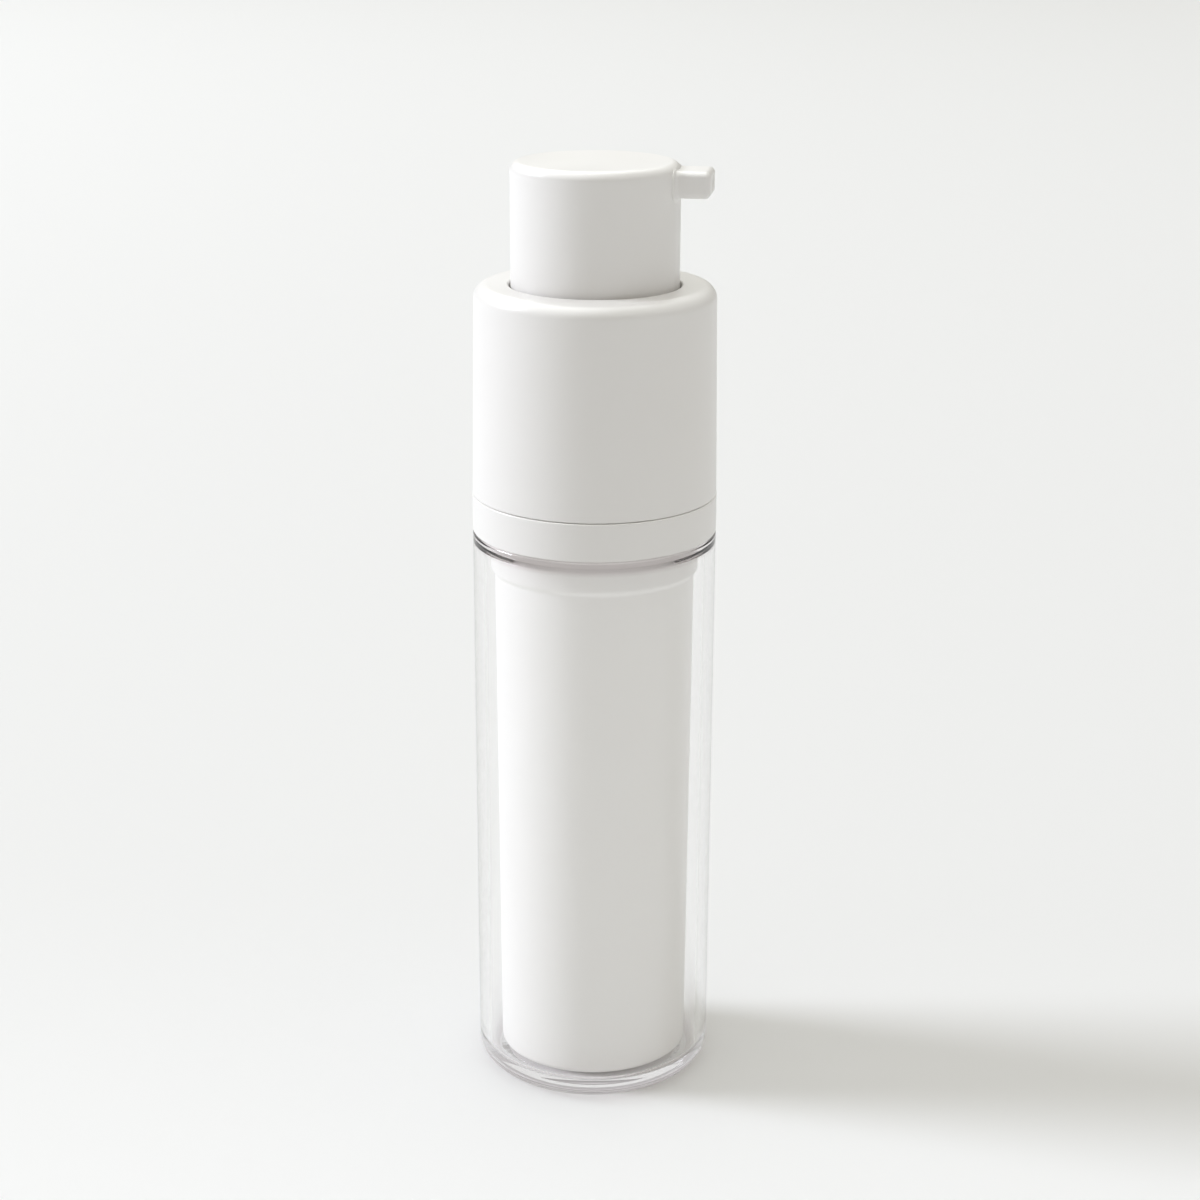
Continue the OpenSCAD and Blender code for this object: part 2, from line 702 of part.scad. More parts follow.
// The nozzle's outer form: a bar along X, trimmed to rounded corners from three sides
module nozzle_bar() {
    low_z = nozzle_top_z - nozzle_h;
    half_w = nozzle_w / 2;
    intersection() {
        rotate([90, 0, 0]) linear_extrude(nozzle_w + 2, center = true)
            corner_block(nozzle_tip, low_z, nozzle_top_z, nozzle_round, nozzle_edge);
        rotate([90, 0, 90]) linear_extrude(nozzle_tip + 1) {
            corner_block(half_w, low_z, nozzle_top_z, nozzle_round, nozzle_edge);
            mirror([1, 0]) corner_block(half_w, low_z, nozzle_top_z, nozzle_round, nozzle_edge);
        }
        translate([0, 0, low_z - 1]) linear_extrude(nozzle_h + 2)
            corner_block(nozzle_tip, -half_w, half_w, nozzle_edge, nozzle_edge);
    }
}

module actuator_shell() {
    skirt_round = 0.3;
    bore = head_r - head_wall;
    color([0.94, 0.94, 0.92]) difference() {
        union() {
            rotate_extrude() corner_block(head_r, head_low_z, head_z, skirt_round, head_round);
            nozzle_bar();
        }
        rotate_extrude() band(0, bore, head_low_z - 1, head_z - head_top);
        along_x(insert_r + press_gap, bore - 1, nozzle_tip + 1, outlet_z);
    }
}

outer_bottle();
inner_bottle();
follower_piston();
mouth_gasket();
mouth_plug();
wiper_seal();
guide_housing();
base_ring();
cam_sleeve();
twist_collar();
lift_carrier();
flange_gasket();
pump_cylinder();
inlet_ball();
ball_cage();
stem_guide();
pump_piston();
pump_stem();
return_spring();
outlet_ball();
actuator_core();
nozzle_insert();
actuator_shell();
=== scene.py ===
# Airless pump bottle with a twist-up head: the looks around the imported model.
# Metres, +Z up, the nozzle points along +X. Sizes in the dictionaries are in millimetres.
import json
import math

import bpy
from mathutils import Matrix, Vector


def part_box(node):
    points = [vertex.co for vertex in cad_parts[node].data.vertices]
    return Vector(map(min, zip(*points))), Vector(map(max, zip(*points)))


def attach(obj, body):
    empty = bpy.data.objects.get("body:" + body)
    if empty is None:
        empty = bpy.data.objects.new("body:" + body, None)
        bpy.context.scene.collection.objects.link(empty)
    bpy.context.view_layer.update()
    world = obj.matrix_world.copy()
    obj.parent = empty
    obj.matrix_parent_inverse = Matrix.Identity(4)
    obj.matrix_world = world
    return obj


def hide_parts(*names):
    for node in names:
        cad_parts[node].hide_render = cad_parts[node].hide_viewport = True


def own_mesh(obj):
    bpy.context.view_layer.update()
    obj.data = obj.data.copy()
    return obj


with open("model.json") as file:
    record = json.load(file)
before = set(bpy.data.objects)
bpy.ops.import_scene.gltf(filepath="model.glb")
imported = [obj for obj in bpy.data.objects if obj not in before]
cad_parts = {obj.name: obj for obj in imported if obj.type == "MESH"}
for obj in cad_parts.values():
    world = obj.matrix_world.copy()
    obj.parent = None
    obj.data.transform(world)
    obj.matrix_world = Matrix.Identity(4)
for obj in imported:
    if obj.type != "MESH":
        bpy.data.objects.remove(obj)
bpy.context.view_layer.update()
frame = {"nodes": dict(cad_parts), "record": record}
bpy.ops.object.select_all(action="DESELECT")
print("frame loaded:", len(frame["nodes"]), "nodes")

mm = 0.001


def lowOf(node):
    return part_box(node)[0] / mm


def highOf(node):
    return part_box(node)[1] / mm


# The heights that the pieces share, taken from the frame
shoulderTop = lowOf("base_ring").z - 0.05  # top of the clear body, under the white ring
collarLow = lowOf("twist_collar").z
collarTop = highOf("twist_collar").z
headLow = lowOf("actuator_shell").z
headTop = highOf("actuator_shell").z
nozzleTip = highOf("actuator_shell").x
outletAxis = (lowOf("nozzle_insert").z + highOf("nozzle_insert").z) / 2

# Camera and studio

studio = {
    "lens": 69.0,
    "cameraBack": 317.8,  # from the bottle's axis, along the floor
    "cameraHeight": 179.65,
    "cameraSide": 8.8,  # degrees round the bottle, towards the nozzle
    "cameraDown": 18.57,  # degrees below level
    "cameraYaw": 0.15,
    "cameraRoll": 0.21,
    "keySide": -98,  # degrees round from the camera: its left, and a little behind the bottle
    "keyHeight": 27,  # degrees above level
    "keyBack": 5000,
    "keySize": 1580,
    "keyWatts": 174,
    "keyColour": (0.955, 0.982, 1.075),
    "floorSize": 5600,
    "floorFar": (0.866, 0.876, 0.866),
    "floorNearPaintedLight": (0.952, 0.964, 0.957),
    "floorTurn": (60, -100),  # along Y, where the painted light on the paper starts and ends
    "skyLow": (0.03, 0.012, 0.005),  # light from near the horizon
    "skyHigh": (1.07, 1.075, 1.025),  # and what overhead adds to it
    "fill": 0.43,  # a soft patch of light, high on the right
    "fillClimb": 51,  # degrees above level
    "overheadPower": 2.0,  # how fast the sky and the room fall off from overhead
    "fillPower": 4.0,
    "roomLow": (0.36, 0.35, 0.31),  # what gloss reflects from near the horizon
    "roomHigh": (7.0, 7.25, 7.15),
    "throughLow": (0.38, 0.365, 0.365),  # what is seen through the glass-clear parts
    "throughHigh": (0.52, 0.51, 0.52),
    "laterTurn": 2.5,  # a mirrored ray counts as mirrored more than once above this depth
    "backdrop": (0.97, 0.97, 0.96),
}


def addCamera(s):
    side = math.radians(s["cameraSide"])
    place = Vector((math.sin(side) * s["cameraBack"], -math.cos(side) * s["cameraBack"], s["cameraHeight"]))
    camera = bpy.data.objects.new("camera", bpy.data.cameras.new("camera"))
    bpy.context.scene.collection.objects.link(camera)
    camera.data.lens = s["lens"]
    camera.data.clip_start = 0.01
    camera.data.clip_end = 50
    turnRound = Matrix.Rotation(side - math.radians(s["cameraYaw"]), 4, "Z")
    tiltDown = Matrix.Rotation(math.radians(90 - s["cameraDown"]), 4, "X")
    roll = Matrix.Rotation(math.radians(s["cameraRoll"]), 4, "Z")
    camera.matrix_world = Matrix.Translation(place * mm) @ turnRound @ tiltDown @ roll
    bpy.context.scene.camera = camera


def addKeyLight(s):
    side = math.radians(s["cameraSide"] + s["keySide"])
    up = math.radians(s["keyHeight"])
    aim = Vector((math.sin(side) * math.cos(up), -math.cos(side) * math.cos(up), math.sin(up)))
    centre = Vector((0, 0, headTop / 2))
    bpy.ops.object.light_add(type="AREA", location=(centre + aim * s["keyBack"]) * mm)
    key = bpy.context.object
    key.name = "keyLight"
    key.rotation_euler = aim.to_track_quat("Z", "Y").to_euler()
    key.data.shape = "DISK"
    key.data.size = s["keySize"] * mm
    key.data.energy = s["keyWatts"]
    key.data.color = s["keyColour"]


def addNode(tree, kind, inputs=None, **settings):
    node = tree.nodes.new(kind)
    for name, value in settings.items():
        setattr(node, name, value)
    for name, value in (inputs or {}).items():
        node.inputs[name].default_value = value
    return node


def addSky(s):
    # A sky that brightens overhead lights the object, with a soft patch of fill on the right.
    # Gloss sees a brighter room, and the camera a pale backdrop. What comes through clear plastic,
    # or is mirrored more than once in it, sees a dimmer room.
    world = bpy.data.worlds.new("studioSky")
    bpy.context.scene.world = world
    world.use_nodes = True
    tree = world.node_tree
    link = tree.links.new
    tree.nodes.clear()
    side = math.radians(s["cameraSide"])
    climb = math.radians(s["fillClimb"])
    fillFrom = (math.cos(side) * math.cos(climb), math.sin(side) * math.cos(climb), math.sin(climb))
    direction = addNode(tree, "ShaderNodeTexCoord")

    def lobe(towards, power):
        facing = addNode(tree, "ShaderNodeVectorMath", {1: towards}, operation="DOT_PRODUCT")
        half = addNode(tree, "ShaderNodeMath", {1: 0.0}, operation="MAXIMUM")
        raised = addNode(tree, "ShaderNodeMath", {1: power}, operation="POWER")
        link(direction.outputs["Generated"], facing.inputs[0])
        link(facing.outputs["Value"], half.inputs[0])
        link(half.outputs[0], raised.inputs[0])
        return raised.outputs[0]

    def shade(factor, low, high):
        colour = addNode(tree, "ShaderNodeMix", data_type="RGBA")
        colour.inputs["A"].default_value = (*low, 1)
        colour.inputs["B"].default_value = (*[a + b for a, b in zip(low, high)], 1)
        background = addNode(tree, "ShaderNodeBackground", {"Strength": 1})
        link(factor, colour.inputs["Factor"])
        link(colour.outputs["Result"], background.inputs["Color"])
        return background.outputs[0]

    overhead = lobe((0, 0, 1), s["overheadPower"])
    sky = shade(overhead, s["skyLow"], s["skyHigh"])
    fill = shade(lobe(fillFrom, s["fillPower"]), (0, 0, 0), (s["fill"],) * 3)
    room = shade(overhead, s["roomLow"], s["roomHigh"])
    through = shade(overhead, s["throughLow"], s["throughHigh"])
    backdrop = addNode(tree, "ShaderNodeBackground", {"Color": (*s["backdrop"], 1), "Strength": 1})
    lighting = addNode(tree, "ShaderNodeAddShader")
    path = addNode(tree, "ShaderNodeLightPath")
    lightOrRoom = addNode(tree, "ShaderNodeMixShader")
    orThrough = addNode(tree, "ShaderNodeMixShader")
    laterRay = addNode(tree, "ShaderNodeMath", {1: s["laterTurn"]}, operation="GREATER_THAN")
    laterGloss = addNode(tree, "ShaderNodeMath", operation="MULTIPLY")
    seesThrough = addNode(tree, "ShaderNodeMath", operation="MAXIMUM")
    whole = addNode(tree, "ShaderNodeMixShader")
    output = addNode(tree, "ShaderNodeOutputWorld")
    link(sky, lighting.inputs[0])
    link(fill, lighting.inputs[1])
    link(path.outputs["Is Glossy Ray"], lightOrRoom.inputs[0])
    link(lighting.outputs[0], lightOrRoom.inputs[1])
    link(room, lightOrRoom.inputs[2])
    link(path.outputs["Ray Depth"], laterRay.inputs[0])
    link(laterRay.outputs[0], laterGloss.inputs[0])
    link(path.outputs["Is Glossy Ray"], laterGloss.inputs[1])
    link(path.outputs["Is Transmission Ray"], seesThrough.inputs[0])
    link(laterGloss.outputs[0], seesThrough.inputs[1])
    link(seesThrough.outputs[0], orThrough.inputs[0])
    link(lightOrRoom.outputs[0], orThrough.inputs[1])
    link(through, orThrough.inputs[2])
    link(path.outputs["Is Camera Ray"], whole.inputs[0])
    link(orThrough.outputs[0], whole.inputs[1])
    link(backdrop.outputs[0], whole.inputs[2])
    link(whole.outputs[0], output.inputs["Surface"])


def addFloor(s):
    # Matt paper with painted light: its colour is a little lighter towards the camera
    bpy.ops.mesh.primitive_plane_add(size=s["floorSize"] * mm, location=(0, 0, 0))
    floor = bpy.context.object
    floor.name = "floor"
    paper = bpy.data.materials.new("floorPaper")
    paper.use_nodes = True
    tree = paper.node_tree
    link = tree.links.new
    shader = tree.nodes["Principled BSDF"]
    shader.inputs["Roughness"].default_value = 0.9
    shader.inputs["Specular IOR Level"].default_value = 0.1
    place = addNode(tree, "ShaderNodeTexCoord")
    parts = addNode(tree, "ShaderNodeSeparateXYZ")
    near = addNode(tree, "ShaderNodeMapRange", {
        "From Min": s["floorTurn"][0] * mm, "From Max": s["floorTurn"][1] * mm,
    }, interpolation_type="SMOOTHSTEP")
    # painted light: the paper's colour brightens towards the camera
    colour = addNode(tree, "ShaderNodeMix", data_type="RGBA")
    colour.inputs["A"].default_value = (*s["floorFar"], 1)
    colour.inputs["B"].default_value = (*s["floorNearPaintedLight"], 1)
    link(place.outputs["Object"], parts.inputs[0])
    link(parts.outputs["Y"], near.inputs["Value"])
    link(near.outputs["Result"], colour.inputs["Factor"])
    link(colour.outputs["Result"], shader.inputs["Base Color"])
    floor.data.materials.append(paper)


addCamera(studio)
addKeyLight(studio)
addSky(studio)
addFloor(studio)
bpy.context.scene.view_settings.view_transform = "Standard"
print("camera, light and floor made")

# Finishes


def newGroup(name, inputs, outputs):
    group = bpy.data.node_groups.new(name, "ShaderNodeTree")
    for socket, value in inputs.items():
        made = group.interface.new_socket(name=socket, in_out="INPUT", socket_type="NodeSocketFloat")
        made.default_value = value
    for socket in outputs:
        group.interface.new_socket(name=socket, in_out="OUTPUT", socket_type="NodeSocketFloat")
    entry = group.nodes.new("NodeGroupInput")
    leave = group.nodes.new("NodeGroupOutput")
    return group, entry, leave


def makeMouldSkin():
    # The faint waves and fine grain that a moulded face takes from its tool
    group, entry, leave = newGroup("mouldSkin", {
        "Wave Scale": 140, "Grain Scale": 2600, "Grain Share": 0.3,
    }, ["Height", "Tone"])
    link = group.links.new
    place = addNode(group, "ShaderNodeTexCoord")
    waves = addNode(group, "ShaderNodeTexNoise", {"Detail": 2.0, "Roughness": 0.45})
    grain = addNode(group, "ShaderNodeTexNoise", {"Detail": 3.0, "Roughness": 0.6})
    tone = addNode(group, "ShaderNodeTexNoise", {"Scale": 55.0, "Detail": 3.0, "Roughness": 0.5})
    blend = addNode(group, "ShaderNodeMix", data_type="FLOAT")
    link(place.outputs["Object"], waves.inputs["Vector"])
    link(place.outputs["Object"], grain.inputs["Vector"])
    link(place.outputs["Object"], tone.inputs["Vector"])
    link(entry.outputs["Wave Scale"], waves.inputs["Scale"])
    link(entry.outputs["Grain Scale"], grain.inputs["Scale"])
    link(entry.outputs["Grain Share"], blend.inputs["Factor"])
    link(waves.outputs["Fac"], blend.inputs["A"])
    link(grain.outputs["Fac"], blend.inputs["B"])
    link(blend.outputs["Result"], leave.inputs["Height"])
    link(tone.outputs["Fac"], leave.inputs["Tone"])
    return group


def makeHandling():
    # Soft smudges and faint upright rubs from handling, as a mask
    group, entry, leave = newGroup("handlingMarks", {
        "Smudge Scale": 60, "Rub Scale": 700, "Rub Share": 0.35,
    }, ["Marks"])
    link = group.links.new
    place = addNode(group, "ShaderNodeTexCoord")
    squeeze = addNode(group, "ShaderNodeMapping", {"Scale": (1.0, 1.0, 0.08)})
    smudge = addNode(group, "ShaderNodeTexNoise", {"Detail": 3.0, "Roughness": 0.5})
    smudgeCut = addNode(group, "ShaderNodeMapRange", {
        "From Min": 0.35, "From Max": 0.8,
    }, interpolation_type="SMOOTHSTEP")
    rubs = addNode(group, "ShaderNodeTexNoise", {"Detail": 2.0, "Roughness": 0.5})
    rubCut = addNode(group, "ShaderNodeMapRange", {
        "From Min": 0.4, "From Max": 0.85,
    }, interpolation_type="SMOOTHSTEP")
    both = addNode(group, "ShaderNodeMix", data_type="FLOAT")
    link(place.outputs["Object"], smudge.inputs["Vector"])
    link(place.outputs["Object"], squeeze.inputs["Vector"])
    link(squeeze.outputs[0], rubs.inputs["Vector"])
    link(entry.outputs["Smudge Scale"], smudge.inputs["Scale"])
    link(entry.outputs["Rub Scale"], rubs.inputs["Scale"])
    link(entry.outputs["Rub Share"], both.inputs["Factor"])
    link(smudge.outputs["Fac"], smudgeCut.inputs["Value"])
    link(rubs.outputs["Fac"], rubCut.inputs["Value"])
    link(smudgeCut.outputs["Result"], both.inputs["A"])
    link(rubCut.outputs["Result"], both.inputs["B"])
    link(both.outputs["Result"], leave.inputs["Marks"])
    return group


def makePaintedShadeBands():
    # Where painted shade goes: a mask that is 1 above one height and below another, with a soft change
    # between
    group, entry, leave = newGroup("paintedShadeBands", {"Above": 0.08, "Below": 0.003, "Blend": 0.0005}, ["Mask"])
    link = group.links.new
    place = addNode(group, "ShaderNodeTexCoord")
    height = addNode(group, "ShaderNodeSeparateXYZ")
    upperEnd = addNode(group, "ShaderNodeMath", operation="ADD")
    lowerEnd = addNode(group, "ShaderNodeMath", operation="SUBTRACT")
    upper = addNode(group, "ShaderNodeMapRange", interpolation_type="SMOOTHSTEP")
    lower = addNode(group, "ShaderNodeMapRange", interpolation_type="SMOOTHSTEP")
    both = addNode(group, "ShaderNodeMath", operation="MAXIMUM")
    link(place.outputs["Object"], height.inputs[0])
    link(entry.outputs["Above"], upperEnd.inputs[0])
    link(entry.outputs["Blend"], upperEnd.inputs[1])
    link(entry.outputs["Below"], lowerEnd.inputs[0])
    link(entry.outputs["Blend"], lowerEnd.inputs[1])
    link(height.outputs["Z"], upper.inputs["Value"])
    link(entry.outputs["Above"], upper.inputs["From Min"])
    link(upperEnd.outputs[0], upper.inputs["From Max"])
    link(height.outputs["Z"], lower.inputs["Value"])
    link(entry.outputs["Below"], lower.inputs["From Min"])
    link(lowerEnd.outputs[0], lower.inputs["From Max"])
    link(upper.outputs["Result"], both.inputs[0])
    link(lower.outputs["Result"], both.inputs[1])
    link(both.outputs[0], leave.inputs["Mask"])
    return group


mouldSkin = makeMouldSkin()
handlingMarks = makeHandling()
paintedShadeBands = makePaintedShadeBands()


def makeMoulded(name, look):
    material = bpy.data.materials.new(name)
    material.use_nodes = True
    tree = material.node_tree
    link = tree.links.new
    shader = tree.nodes["Principled BSDF"]
    for socket, value in look["shader"].items():
        shader.inputs[socket].default_value = value
    skin = addNode(tree, "ShaderNodeGroup", node_tree=mouldSkin)
    for socket, value in look.get("skin", {}).items():
        skin.inputs[socket].default_value = value
    marks = addNode(tree, "ShaderNodeGroup", node_tree=handlingMarks)
    colour = addNode(tree, "ShaderNodeMix", data_type="RGBA")
    colour.inputs["A"].default_value = (*look["colour"], 1)
    colour.inputs["B"].default_value = (*look["shade"], 1)
    rough = addNode(tree, "ShaderNodeMapRange", {"To Min": look["rough"], "To Max": look["roughMarked"]})
    bump = addNode(tree, "ShaderNodeBump", {"Strength": look["bump"], "Distance": look["bumpDepth"] * mm})
    link(skin.outputs["Tone"], colour.inputs["Factor"])
    link(colour.outputs["Result"], shader.inputs["Base Color"])
    link(marks.outputs["Marks"], rough.inputs["Value"])
    link(rough.outputs["Result"], shader.inputs["Roughness"])
    link(skin.outputs["Height"], bump.inputs["Height"])
    link(bump.outputs["Normal"], shader.inputs["Normal"])
    return material


finishes = {
    "white_plastic": {
        "colour": (0.903, 0.895, 0.873), "shade": (0.888, 0.878, 0.851),
        "rough": 0.28, "roughMarked": 0.36, "bump": 0.1, "bumpDepth": 0.02,
        "shader": {"IOR": 1.5},
    },
    "white_bottle": {
        "colour": (0.97, 0.965, 0.94), "shade": (0.96, 0.95, 0.92),
        "rough": 0.34, "roughMarked": 0.42, "bump": 0.15, "bumpDepth": 0.03,
        "shader": {"IOR": 1.5},
        "skin": {"Wave Scale": 110, "Grain Share": 0.15},
    },
    "inner_plastic": {
        "colour": (0.82, 0.82, 0.80), "shade": (0.78, 0.78, 0.76),
        "rough": 0.42, "roughMarked": 0.55, "bump": 0.3, "bumpDepth": 0.03,
        "shader": {"IOR": 1.5},
    },
    "natural_plastic": {
        "colour": (0.74, 0.76, 0.74), "shade": (0.69, 0.71, 0.70),
        "rough": 0.38, "roughMarked": 0.5, "bump": 0.3, "bumpDepth": 0.03,
        "shader": {"IOR": 1.51},
    },
    "seal_rubber": {
        "colour": (0.52, 0.52, 0.50), "shade": (0.45, 0.45, 0.43),
        "rough": 0.6, "roughMarked": 0.75, "bump": 0.4, "bumpDepth": 0.04,
        "shader": {"IOR": 1.45},
        "skin": {"Grain Share": 0.7},
    },
    "ball_steel": {
        "colour": (0.66, 0.67, 0.69), "shade": (0.6, 0.61, 0.63),
        "rough": 0.08, "roughMarked": 0.16, "bump": 0.05, "bumpDepth": 0.01,
        "shader": {"Metallic": 1.0},
    },
    "spring_steel": {
        "colour": (0.6, 0.61, 0.63), "shade": (0.5, 0.51, 0.53),
        "rough": 0.24, "roughMarked": 0.38, "bump": 0.3, "bumpDepth": 0.02,
        "shader": {"Metallic": 1.0, "Anisotropic": 0.4},
        "skin": {"Grain Share": 0.6},
    },
}
materials = {slot: makeMoulded(slot, look) for slot, look in finishes.items()}

clearLook = {
    "colour": (1.0, 1.0, 1.0),
    "paintedShadeColour": (0.895, 0.87, 0.875),  # painted shade: greys the shoulder and the foot, what is seen through them and the light they let through
    "paintedShadeAbove": 81.8,
    "paintedShadeBelow": 2.6,
    "paintedShadeBlend": 0.5,
    "ior": 1.5,
    "rough": (0.0, 0.03),  # untouched, and where it has been handled
    "skin": {"Wave Scale": 70, "Grain Share": 0.0},
    "bump": 0.1,
    "bumpDepth": 0.02,
    "deepest": 5.5,  # after this many turns in the plastic a ray leaves it
    "edgePower": 5.0,  # how close to grazing the edge of the shadow keeps
    "shadowCentre": (1.0, 1.0, 1.0),  # light let through where a face is met squarely
    "shadowEdge": (0.7, 0.7, 0.7),  # and where it is grazed
}


def makeClear(look):
    material = bpy.data.materials.new("clear_plastic")
    material.use_nodes = True
    tree = material.node_tree
    link = tree.links.new
    shader = tree.nodes["Principled BSDF"]
    output = tree.nodes["Material Output"]
    shader.inputs["IOR"].default_value = look["ior"]
    shader.inputs["Transmission Weight"].default_value = 1.0
    paintedShade = addNode(tree, "ShaderNodeGroup", {
        "Above": look["paintedShadeAbove"] * mm, "Below": look["paintedShadeBelow"] * mm, "Blend": look["paintedShadeBlend"] * mm,
    }, node_tree=paintedShadeBands)
    body = addNode(tree, "ShaderNodeMix", data_type="RGBA")
    body.inputs["A"].default_value = (*look["colour"], 1)
    body.inputs["B"].default_value = (*look["paintedShadeColour"], 1)
    marks = addNode(tree, "ShaderNodeGroup", node_tree=handlingMarks)
    rough = addNode(tree, "ShaderNodeMapRange", {"To Min": look["rough"][0], "To Max": look["rough"][1]})
    skin = addNode(tree, "ShaderNodeGroup", look["skin"], node_tree=mouldSkin)
    bump = addNode(tree, "ShaderNodeBump", {"Strength": look["bump"], "Distance": look["bumpDepth"] * mm})
    path = addNode(tree, "ShaderNodeLightPath")
    lightRay = addNode(tree, "ShaderNodeMath", operation="MAXIMUM")
    deepRay = addNode(tree, "ShaderNodeMath", {1: look["deepest"]}, operation="GREATER_THAN")
    straight = addNode(tree, "ShaderNodeMath", operation="MAXIMUM")
    facing = addNode(tree, "ShaderNodeLayerWeight", {"Blend": 0.5})
    grazing = addNode(tree, "ShaderNodeMath", {1: look["edgePower"]}, operation="POWER")
    tint = addNode(tree, "ShaderNodeMix", data_type="RGBA")
    tint.inputs["A"].default_value = (*look["shadowCentre"], 1)
    tint.inputs["B"].default_value = (*look["shadowEdge"], 1)
    dimmed = addNode(tree, "ShaderNodeMix", data_type="RGBA", blend_type="MULTIPLY")
    dimmed.inputs["Factor"].default_value = 1.0
    passing = addNode(tree, "ShaderNodeBsdfTransparent")
    mixed = addNode(tree, "ShaderNodeMixShader")
    link(marks.outputs["Marks"], rough.inputs["Value"])
    link(rough.outputs["Result"], shader.inputs["Roughness"])
    link(skin.outputs["Height"], bump.inputs["Height"])
    link(bump.outputs["Normal"], shader.inputs["Normal"])
    link(path.outputs["Is Shadow Ray"], lightRay.inputs[0])
    link(path.outputs["Is Diffuse Ray"], lightRay.inputs[1])
    link(path.outputs["Ray Depth"], deepRay.inputs[0])
    link(lightRay.outputs[0], straight.inputs[0])
    link(deepRay.outputs[0], straight.inputs[1])
    link(facing.outputs["Facing"], grazing.inputs[0])
    link(grazing.outputs[0], tint.inputs["Factor"])
    # Painted shade: over the shoulder and the foot the plastic is greyed for the camera, and also for the
    # light and diffuse rays it lets through, which darkens the inner neck and lays a painted contact shadow
    # under the foot
    link(paintedShade.outputs["Mask"], body.inputs["Factor"])
    link(body.outputs["Result"], shader.inputs["Base Color"])
    link(body.outputs["Result"], dimmed.inputs["A"])
    link(tint.outputs["Result"], dimmed.inputs["B"])
    link(dimmed.outputs["Result"], passing.inputs["Color"])
    link(straight.outputs[0], mixed.inputs[0])
    link(shader.outputs[0], mixed.inputs[1])
    link(passing.outputs[0], mixed.inputs[2])
    link(mixed.outputs[0], output.inputs["Surface"])
    return material


materials["clear_plastic"] = makeClear(clearLook)
print("finishes made:", len(materials))

# Ways of making a piece


def roundedOutline(corners, arcSteps=8, support=0.12):
    points = []
    for i, (across, up, radius) in enumerate(corners):
        here = Vector((across, up))
        if radius == 0:
            points.append(here)
            continue
        before = (Vector(corners[i - 1][:2]) - here).normalized()
        after = (Vector(corners[(i + 1) % len(corners)][:2]) - here).normalized()
        half = before.angle(after) / 2
        centre = here + (before + after).normalized() * radius / math.sin(half)
        first = (here + before * radius / math.tan(half) - centre).normalized()
        last = (here + after * radius / math.tan(half) - centre).normalized()
        points += [centre + first.slerp(last, k / arcSteps) * radius for k in range(arcSteps + 1)]
    supported = []
    for i, point in enumerate(points):
        following = points[(i + 1) % len(points)]
        run = following - point
        supported.append(point)
        if run.length > 4 * support and (point.x != 0 or following.x != 0):
            supported.append(point + run.normalized() * support)
            supported.append(following - run.normalized() * support)
    return supported


def turnPiece(name, corners, steps=192, arcSteps=8, alongX=None):
    outline = roundedOutline(corners, arcSteps)
    bpy.ops.mesh.primitive_circle_add(vertices=len(outline), radius=mm)
    piece = bpy.context.object
    piece.name = piece.data.name = name
    centre = Vector((0, 0, 0 if alongX is None else alongX * mm))
    axis = (0, 0, 1) if alongX is None else (1, 0, 0)
    for vertex, point in zip(piece.data.vertices, outline):
        across, along = point * mm
        vertex.co = (across, 0, along) if alongX is None else (along, 0, centre.z + across)
    bpy.ops.object.mode_set(mode="EDIT")
    bpy.ops.mesh.select_all(action="SELECT")
    bpy.ops.mesh.spin(steps=steps, angle=math.tau, center=centre, axis=axis)
    bpy.ops.mesh.select_all(action="SELECT")
    bpy.ops.mesh.remove_doubles(threshold=0.0005 * mm)
    bpy.ops.mesh.delete_loose()
    bpy.ops.mesh.select_all(action="SELECT")
    bpy.ops.mesh.normals_make_consistent(inside=False)
    bpy.ops.object.mode_set(mode="OBJECT")
    return piece


def smoothPiece(piece, angle=32):
    bpy.ops.object.select_all(action="DESELECT")
    piece.select_set(True)
    bpy.context.view_layer.objects.active = piece
    bpy.ops.object.shade_smooth_by_angle(angle=math.radians(angle))


def applyModifier(piece, kind, **settings):
    bpy.ops.object.select_all(action="DESELECT")
    piece.select_set(True)
    bpy.context.view_layer.objects.active = piece
    modifier = piece.modifiers.new(kind.lower(), kind)
    for name, value in settings.items():
        setattr(modifier, name, value)
    bpy.ops.object.modifier_apply(modifier=modifier.name)


def joined(parts):
    bpy.ops.object.select_all(action="DESELECT")
    for part in parts:
        part.select_set(True)
    bpy.context.view_layer.objects.active = parts[0]
    bpy.ops.object.join()
    return parts[0]


def combine(piece, other, operation):
    applyModifier(piece, "BOOLEAN", operation=operation, object=other, solver="EXACT")
    bpy.data.objects.remove(other)


def finishPiece(piece, node, body, slot):
    smoothPiece(piece)
    piece.data.materials.clear()
    piece.data.materials.append(materials[slot])
    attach(piece, body)
    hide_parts(node)
    print("made", piece.name, len(piece.data.polygons), "faces")


# The clear outer bottle

clearBottle = {
    "radius": highOf("outer_bottle").x,
    "wall": 1.7,
    "floor": 2.8,
    "footRound": 3.0,
    "footBand": 1.6,
    "dishDepth": 0.5,
    "floorRound": 1.2,
    "shoulder": 2.0,
    "shoulderRound": 0.5,
    "neckRadius": 15.95,
    "neckBore": 15.15,
    "beadHeight": 0.2,
    "beadHalf": 0.3,
    "gateRadius": 1.6,
    "gateDepth": 0.15,
    "gateSlope": 0.3,
}


